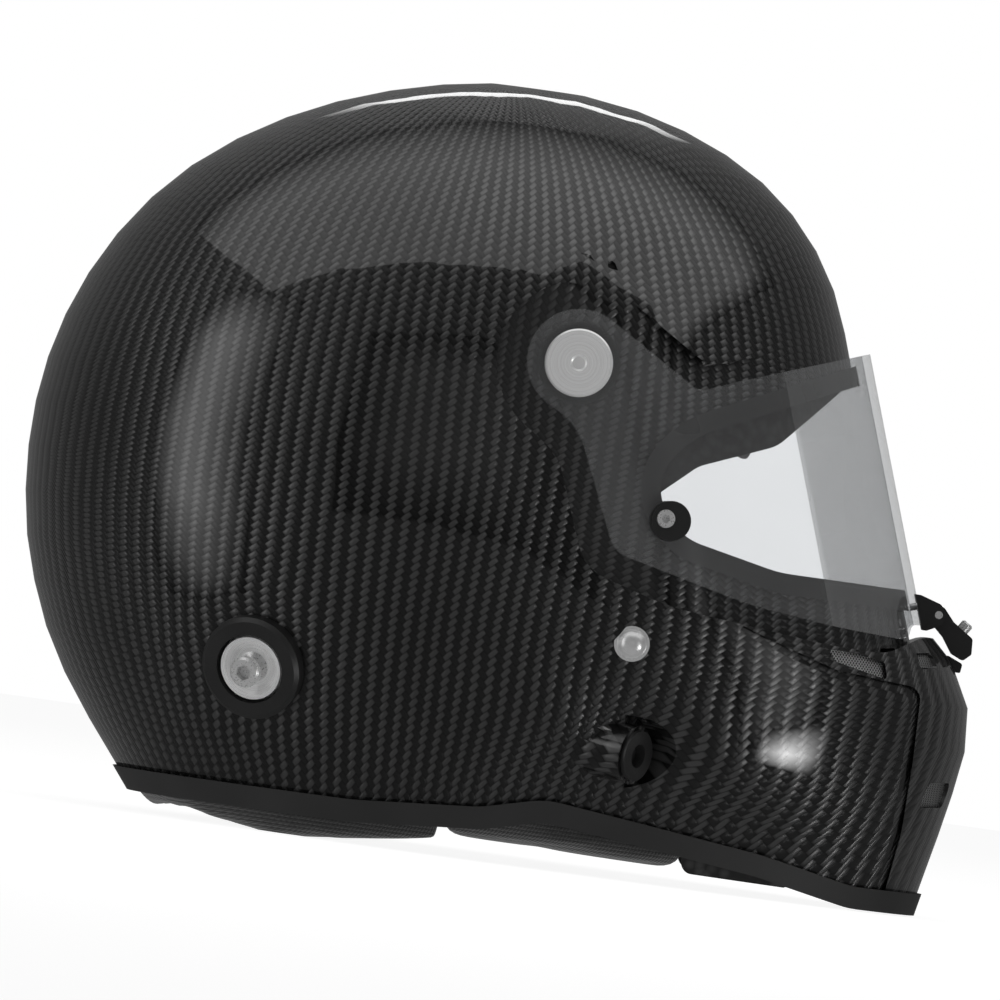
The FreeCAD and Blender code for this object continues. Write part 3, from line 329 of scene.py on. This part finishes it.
def make_fabric(name, tone):
    """Black knit with a soft sheen and fine ribs."""
    tree = material_tree(name)
    place = tree.place()
    x, y, z = tree.axes(place)
    rows = tree.arches(tree.math("DIVIDE", z, KNIT_RIB))
    slant = tree.math("ADD", x, tree.math("MULTIPLY", y, KNIT_LEAN))
    columns = tree.arches(tree.math("DIVIDE", slant, KNIT_RIB))
    fluff = tree.noise(place, 700.0, 4.0, 0.7)
    knit = tree.math("MULTIPLY", rows, columns)
    height = tree.math("ADD", knit, tree.math("MULTIPLY", fluff, 0.8))
    shader = principled(
        tree, Base_Color=tree.mix(fluff, grey(tone * 0.6), grey(tone * 1.5)), Roughness=0.92,
        Sheen_Weight=0.25, Sheen_Roughness=0.5, Normal=tree.bump(height, 0.0003, 0.8))
    return tree.finish(shader)


def make_foam(name, tone):
    """Moulded bead foam: packed beads with dark joints."""
    tree = material_tree(name)
    beads = tree.add("ShaderNodeTexVoronoi", {"Vector": tree.place(), "Scale": 260.0})
    edge = beads.outputs["Distance"]
    colour = tree.mix(tree.span(edge, 0.2, 0.6, 0.0, 1.0), grey(tone * 1.4), grey(tone * 0.5))
    shader = principled(tree, Base_Color=colour, Roughness=0.8,
                        Normal=tree.bump(edge, -0.0006, 0.7))
    return tree.finish(shader)


def make_webbing():
    """Flat woven strap: fine ribs across and a herringbone along it."""
    tree = material_tree("strap_web")
    place = tree.place()
    x, y, z = tree.axes(place)
    columns = tree.math("DIVIDE", x, WEB_COLUMN)
    pairs = tree.arches(tree.math("MULTIPLY", columns, 0.5))
    run = tree.math("ADD", tree.math("ADD", y, z), tree.math("MULTIPLY", pairs, WEB_SLOPE))
    rows = tree.arches(tree.math("DIVIDE", run, WEB_ROW))
    height = tree.math("MULTIPLY", rows, tree.arches(columns))
    fuzz = tree.noise(place, 900.0, 3.0)
    shader = principled(
        tree, Base_Color=tree.mix(fuzz, grey(0.010), grey(0.035)), Roughness=0.75,
        Sheen_Weight=0.2, Normal=tree.bump(height, 0.0003, 0.9))
    return tree.finish(shader)


# Piece helpers

WELD = 1e-6
SMOOTH_UNDER = math.radians(35)


def dress(names, material):
    """Give CAD pieces a material."""
    for name in names:
        mesh = NODES[name].data
        mesh.materials.clear()
        mesh.materials.append(material)


def both(*names):
    return [f"{name}_{side}" for name in names for side in SIDES]


def smooth(piece):
    """Shade a piece smooth across its shallow edges."""
    for face in piece.data.polygons:
        face.use_smooth = True
    edges = bmesh.new()
    edges.from_mesh(piece.data)
    for edge in edges.edges:
        edge.smooth = len(edge.link_faces) != 2 or edge.calc_face_angle() < SMOOTH_UNDER
    edges.to_mesh(piece.data)
    edges.free()


def copy_of(node, name):
    """New piece that starts from a CAD node's mesh."""
    piece = bpy.data.objects.new(name, NODES[node].data.copy())
    SCENE.collection.objects.link(piece)
    piece.data.materials.clear()
    mesh = bmesh.new()
    mesh.from_mesh(piece.data)
    bmesh.ops.remove_doubles(mesh, verts=mesh.verts, dist=WELD)
    mesh.to_mesh(piece.data)
    mesh.free()
    return piece


def apply_all(piece):
    """Keep the shape that a piece's modifiers give it, and drop the modifiers."""
    graph = bpy.context.evaluated_depsgraph_get()
    shaped = bpy.data.meshes.new_from_object(piece.evaluated_get(graph))
    piece.modifiers.clear()
    old = piece.data
    piece.data = shaped
    bpy.data.meshes.remove(old)


def shape_by(piece, kind, **settings):
    """Shape a piece by one modifier, and apply it."""
    modifier = piece.modifiers.new(kind, kind)
    for name, value in settings.items():
        setattr(modifier, name, value)
    apply_all(piece)


# Shell

SHELL_EDGE = 0.006
DIVIDE_TURNS = 3
SHARP = math.radians(24)
NORMAL_TURNS = 14

# Which faces take the soft forms: least cosine to the outward way, and least distance from the
# middle plane
OUTER_FACE = 0.3
SIDE_FACE = 0.03
# Soft forms in side view: middle, reach, turn and rise
SWELLINGS = (
    ((0.094, 0.0445), (0.040, 0.0150), -7, 0.0060),
    ((0.024, 0.0500), (0.034, 0.0150), -4, 0.0052),
    ((0.086, 0.0240), (0.027, 0.0060), -4, -0.0016),
)
# The port's face stays flat, and the forms fade out towards it and the lower edge
PORT_FACE = (0.0554, 0.044)
PORT_FADE = (0.0125, 0.024)
EDGE_FADE = (0.018, 0.026)
# Raised rim round the tether anchor: its middle, then radius, width and rise
ANCHOR = (-0.081, 0.0568)
ANCHOR_RIM = (0.027, 0.006, 0.0016)
# Hollow that the raised visor's shoulder passes over: its middle, edge's radius and half width
BROW_HOLLOW = (0.033, 0.202)
BROW_RADIUS, BROW_HALF = 0.015, 0.0065
BROW_FACE = -0.5
BROW_TURNS = 40


def from_middle(place, middle):
    """Distance from a middle, in side view."""
    return math.hypot(place.x - middle[0], place.z - middle[1])


def fade_in(value, start, end):
    """0 up to the start, 1 from the end, and even between them."""
    return min(1.0, max(0.0, (value - start) / (end - start)))


def outward(vertex):
    """Cosine between the shell's face there and the way out from its middle."""
    return vertex.normal.dot((vertex.co - CLOTH_MIDDLE).normalized())


def rise_at(place):
    """How far the shell's face stands out there, over its plain form."""
    rise = 0.0
    for middle, reach, turn, height in SWELLINGS:
        across, up = place.x - middle[0], place.z - middle[1]
        c, s = math.cos(math.radians(turn)), math.sin(math.radians(turn))
        along, over = (across * c + up * s) / reach[0], (up * c - across * s) / reach[1]
        rise += height * math.exp(-along ** 2 - over ** 2)
    rise *= fade_in(from_middle(place, PORT_FACE), *PORT_FADE)
    radius, width, height = ANCHOR_RIM
    rise += height * math.exp(-((from_middle(place, ANCHOR) - radius) / width) ** 2)
    return rise * fade_in(place.z, *EDGE_FADE)


def divide(mesh, longest):
    """Halve the edges that are too long, a few times over."""
    for turn in range(DIVIDE_TURNS):
        edges = [edge for edge in mesh.edges if edge.calc_length() > longest]
        bmesh.ops.subdivide_edges(mesh, edges=edges, cuts=1)
        faces = [face for face in mesh.faces if len(face.verts) > 3]
        bmesh.ops.triangulate(mesh, faces=faces)


def soften_brow(mesh):
    """Round off the edge of the hollow that the raised visor's shoulder passes over."""
    edge = [vertex for vertex in mesh.verts
            if outward(vertex) > BROW_FACE
            and abs(from_middle(vertex.co, BROW_HOLLOW) - BROW_RADIUS) < BROW_HALF
            and vertex.co.z > BROW_HOLLOW[1] - BROW_HALF]
    for turn in range(BROW_TURNS):
        bmesh.ops.smooth_vert(mesh, verts=edge, factor=0.5,
                              use_axis_x=True, use_axis_y=True, use_axis_z=True)


def even_normals(piece):
    """Spread the shading over the shell's shallow facets, up to its sharp edges."""
    split = bmesh.new()
    split.from_mesh(piece.data)
    sharp = [e for e in split.edges if len(e.link_faces) != 2 or e.calc_face_angle() > SHARP]
    bmesh.ops.split_edges(split, edges=sharp)
    split.normal_update()
    split.verts.index_update()
    normals = np.array([v.normal for v in split.verts])
    first, second = np.array([[v.index for v in e.verts] for e in split.edges]).T
    corners = np.array([loop.vert.index for face in split.faces for loop in face.loops])
    split.free()
    for turn in range(NORMAL_TURNS):
        sums = normals.copy()
        for axis in range(3):
            sums[:, axis] += np.bincount(first, normals[second, axis], len(normals))
            sums[:, axis] += np.bincount(second, normals[first, axis], len(normals))
        normals = sums / np.linalg.norm(sums, axis=1, keepdims=True)
    for face in piece.data.polygons:
        face.use_smooth = True
    piece.data.normals_split_custom_set(normals[corners].tolist())


def shell_piece(material):
    """Shell in the place of the CAD one: finer, with its soft forms, and shaded smooth."""
    piece = copy_of("outer_shell", "outer_shell_carbon")
    mesh = bmesh.new()
    mesh.from_mesh(piece.data)
    divide(mesh, SHELL_EDGE)
    mesh.normal_update()
    for vertex in mesh.verts:
        if outward(vertex) > OUTER_FACE and abs(vertex.co.y) > SIDE_FACE:
            vertex.co.y += math.copysign(rise_at(vertex.co), vertex.co.y)
    soften_brow(mesh)
    mesh.to_mesh(piece.data)
    mesh.free()
    even_normals(piece)
    piece.data.materials.append(material)
    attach(piece, "helmet")
    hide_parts("outer_shell")


# Padding and straps

PAD_VOXEL = 0.005
PAD_SHRINK = -0.0008
PAD_PRESSURE = 4.0
PAD_RISE = 0.0035
SIM_FRAMES = 20
CHEEK_STRETCH = 1.05
STRAP_EDGE = 0.0004


def swell(pad):
    """Blow a pad up as cloth and cap how far each point moves."""
    rest = [vertex.co.copy() for vertex in pad.data.vertices]
    cloth = pad.modifiers.new("cloth", "CLOTH")
    cloth.settings.use_pressure = True
    cloth.settings.uniform_pressure_force = PAD_PRESSURE
    cloth.settings.effector_weights.gravity = 0.0
    cloth.point_cache.frame_start = 1
    cloth.point_cache.frame_end = SIM_FRAMES
    for number in range(1, SIM_FRAMES + 1):
        SCENE.frame_set(number)
    apply_all(pad)
    SCENE.frame_set(1)
    for vertex, start in zip(pad.data.vertices, rest):
        move = vertex.co - start
        if move.length > PAD_RISE:
            vertex.co = start + move.normalized() * PAD_RISE


def stuffed(node, name, material, longer=1.0):
    """Padded piece in the place of a CAD pad: remeshed, swollen as cloth, and smoothed."""
    pad = copy_of(node, name)
    low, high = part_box(node)
    for vertex in pad.data.vertices:
        vertex.co.x += (longer - 1) * (vertex.co.x - (low.x + high.x) / 2)
    shape_by(pad, "REMESH", mode="VOXEL", voxel_size=PAD_VOXEL)
    shape_by(pad, "DISPLACE", strength=PAD_SHRINK, mid_level=0)
    swell(pad)
    shape_by(pad, "SUBSURF", levels=1, render_levels=1)
    for face in pad.data.polygons:
        face.use_smooth = True
    pad.data.materials.append(material)
    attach(pad, "helmet")
    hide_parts(node)


def strap(node, name, material):
    """Webbing in the place of a CAD strap, with softened edges."""
    piece = copy_of(node, name)
    shape_by(piece, "BEVEL", width=STRAP_EDGE, segments=2, limit_method="ANGLE")
    smooth(piece)
    piece.data.materials.append(material)
    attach(piece, "helmet")
    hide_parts(node)


# Every piece's material

# Turned pieces: node, material, tone, and the way each looks to, with y outward
TURNED = (
    ("visor_pivot_screw", "pivot_alloy", 0.92, (0, 1, 0)),
    ("anchor_cup", "cup_alloy", 0.95, (-0.24, 0.95, -0.2)),
    ("strap_rivet", "rivet_alloy", 0.70, (0, 1, 0)),
)


def dress_turned():
    """Turned metal on both sides, its rings round each piece's own axis."""
    for side, sign in (("right", -1), ("left", 1)):
        for node, name, tone, (x, y, z) in TURNED:
            low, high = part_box(f"{node}_{side}")
            axis = Vector((x, sign * y, z)).normalized()
            turned = make_turned(f"{name}_{side}", tone, (low + high) / 2, axis)
            dress([f"{node}_{side}"], turned)


def dress_all():
    shell_piece(make_carbon())
    dress(["base_trim"], make_rubber("trim_rubber", 0.018, 0.55))
    dress(["eye_port_seal"], make_rubber("seal_rubber", 0.016, 0.30))
    dress(["visor"], make_clear())
    dress_turned()
    steel = make_metal("steel", 0.75, 0.3)
    dress(both("visor_pivot_nut", "strap_washer", "anchor_nut", "tear_off_screw", "anchor_post"),
          steel)
    dress(["latch_pin", "latch_screws", "latch_knob", "buckle_ring_lower", "buckle_ring_upper"],
          steel)
    plastic = make_plastic("black_plastic", 0.012, 0.38)
    dress(both("visor_pivot_plate", "visor_pivot_bush", "tear_off_post"), plastic)
    dress(["latch_bracket", "latch_lever", "latch_catch"], plastic)
    dress(both("anchor_ring", "port_plug"), make_rubber("anchor_rubber", 0.012, 0.42))
    dress(both("side_vent_mesh", "lower_vent_mesh", "upper_vent_mesh"), make_wire_mesh())
    dress(["impact_liner", "chin_liner"], make_foam("bead_foam", 0.02))
    fabric = make_fabric("black_fabric", 0.014)
    for node in ("comfort_liner", "neck_roll"):
        stuffed(node, f"{node}_fabric", fabric)
    for node in both("cheek_pad"):
        stuffed(node, f"{node}_fabric", fabric, CHEEK_STRETCH)
    webbing = make_webbing()
    for side in SIDES:
        strap(f"chin_strap_{side}", f"chin_strap_web_{side}", webbing)


# Stage

FLOOR_RADIUS = 3.0
FLOOR_DROP = 0.0004
FLOOR_GLOW = 0.90
ROOM_LIGHT = 0.13
BACKDROP_LIGHT = 1.0
# Light cards: name, middle, what it faces, size, strength, and how far its light fades in from
# its left, right, lower and upper edges, as shares of its size
CARDS = (
    ("overhead", (0.15, -0.14, 1.15), (0.15, -0.14, 0.0), (2.9, 1.5), 1.0, (0.1, 0.0, 0.35, 0.0)),
    ("rear_side", (-1.55, -0.95, 0.30), PHOTO_MIDDLE, (1.0, 1.9), 2.0, (0.35, 0.5, 0.25, 0.25)),
    ("front_key", (1.55, -1.05, -0.40), PHOTO_MIDDLE, (0.80, 0.55), 18.0, (0.5, 0.5, 0.5, 0.5)),
    ("camera_fill", (0.0, -6.0, 1.0), PHOTO_MIDDLE, (5.0, 4.0), 0.28, (0.3, 0.3, 0.3, 0.3)),
    ("front_side", (1.5, -1.3, 0.2), PHOTO_MIDDLE, (0.9, 1.2), 0.9, (0.4, 0.4, 0.4, 0.4)),
    ("far_strip", (-0.05, 1.5, 1.05), PHOTO_MIDDLE, (0.8, 0.14), 3.0, (0.2, 0.2, 0.0, 0.0)),
)


def flat_object(name, shape, **sizes):
    """New object of one flat shape."""
    mesh = bmesh.new()
    shape(mesh, **sizes)
    data = bpy.data.meshes.new(name)
    mesh.to_mesh(data)
    mesh.free()
    made = bpy.data.objects.new(name, data)
    SCENE.collection.objects.link(made)
    return made


def make_floor():
    """Pale round floor, almost as light as the backdrop."""
    floor = flat_object(
        "floor", bmesh.ops.create_circle, cap_ends=True, segments=96, radius=FLOOR_RADIUS)
    floor.location.z = -FLOOR_DROP
    floor.visible_glossy = False
    tree = material_tree("pale_floor")
    speck = tree.noise(tree.place(), 60.0)
    shader = principled(
        tree, Base_Color=tree.mix(speck, grey(0.30), grey(0.32)), Roughness=0.9,
        Emission_Color=grey(1.0), Emission_Strength=FLOOR_GLOW)
    floor.data.materials.append(tree.finish(shader))


def make_card(name, middle, facing, size, strength, fades):
    """Soft light card: a plane that shines, and fades towards its edges."""
    card = flat_object(name, bmesh.ops.create_grid, x_segments=1, y_segments=1, size=0.5)
    back = (Vector(middle) - Vector(facing)).normalized()
    card.rotation_mode = "QUATERNION"
    card.rotation_quaternion = back.to_track_quat("Z", "Y")
    card.location = middle
    card.scale = (size[0], size[1], 1)
    card.visible_camera = False
    card.visible_shadow = False
    tree = material_tree(name)
    x, y, z = tree.axes(tree.place())
    light = strength
    for value, sign, fade in zip((x, x, y, y), (-1.0, 1.0, -1.0, 1.0), fades):
        if fade:
            edge = tree.math("MULTIPLY", value, sign)
            light = tree.math("MULTIPLY", light, tree.span(edge, 0.5 - fade, 0.5, 1.0, 0.0))
    emission = tree.add("ShaderNodeEmission", {"Color": grey(1.0), "Strength": light}).outputs[0]
    card.data.materials.append(tree.finish(emission))


def make_world():
    """Pale backdrop for the camera, and a dim room for what the shell reflects."""
    tree = Tree(bpy.data.worlds.new("studio"), "ShaderNodeOutputWorld")
    room, backdrop = [
        tree.add("ShaderNodeBackground", {"Color": grey(1.0), "Strength": light}).outputs[0]
        for light in (ROOM_LIGHT, BACKDROP_LIGHT)]
    seen = tree.add("ShaderNodeLightPath").outputs["Is Camera Ray"]
    SCENE.world = tree.finish(tree.mix_shaders(seen, room, backdrop))


def make_camera():
    data = bpy.data.cameras.new("photo_camera")
    data.sensor_width = SENSOR
    data.lens = SENSOR * CAMERA_DISTANCE / PHOTO_WIDTH
    data.clip_end = CLIP_END
    camera = bpy.data.objects.new("photo_camera", data)
    SCENE.collection.objects.link(camera)
    right = Vector((math.cos(PHOTO_ROLL), 0, math.sin(PHOTO_ROLL)))
    up = Vector((-math.sin(PHOTO_ROLL), 0, math.cos(PHOTO_ROLL)))
    back = right.cross(up)
    camera.matrix_world = Matrix.Translation(PHOTO_MIDDLE + back * CAMERA_DISTANCE) @ Matrix(
        (right, up, back)).transposed().to_4x4()
    SCENE.camera = camera


dress_all()
make_floor()
make_world()
for card in CARDS:
    make_card(*card)
make_camera()
SCENE.view_settings.view_transform = "Standard"
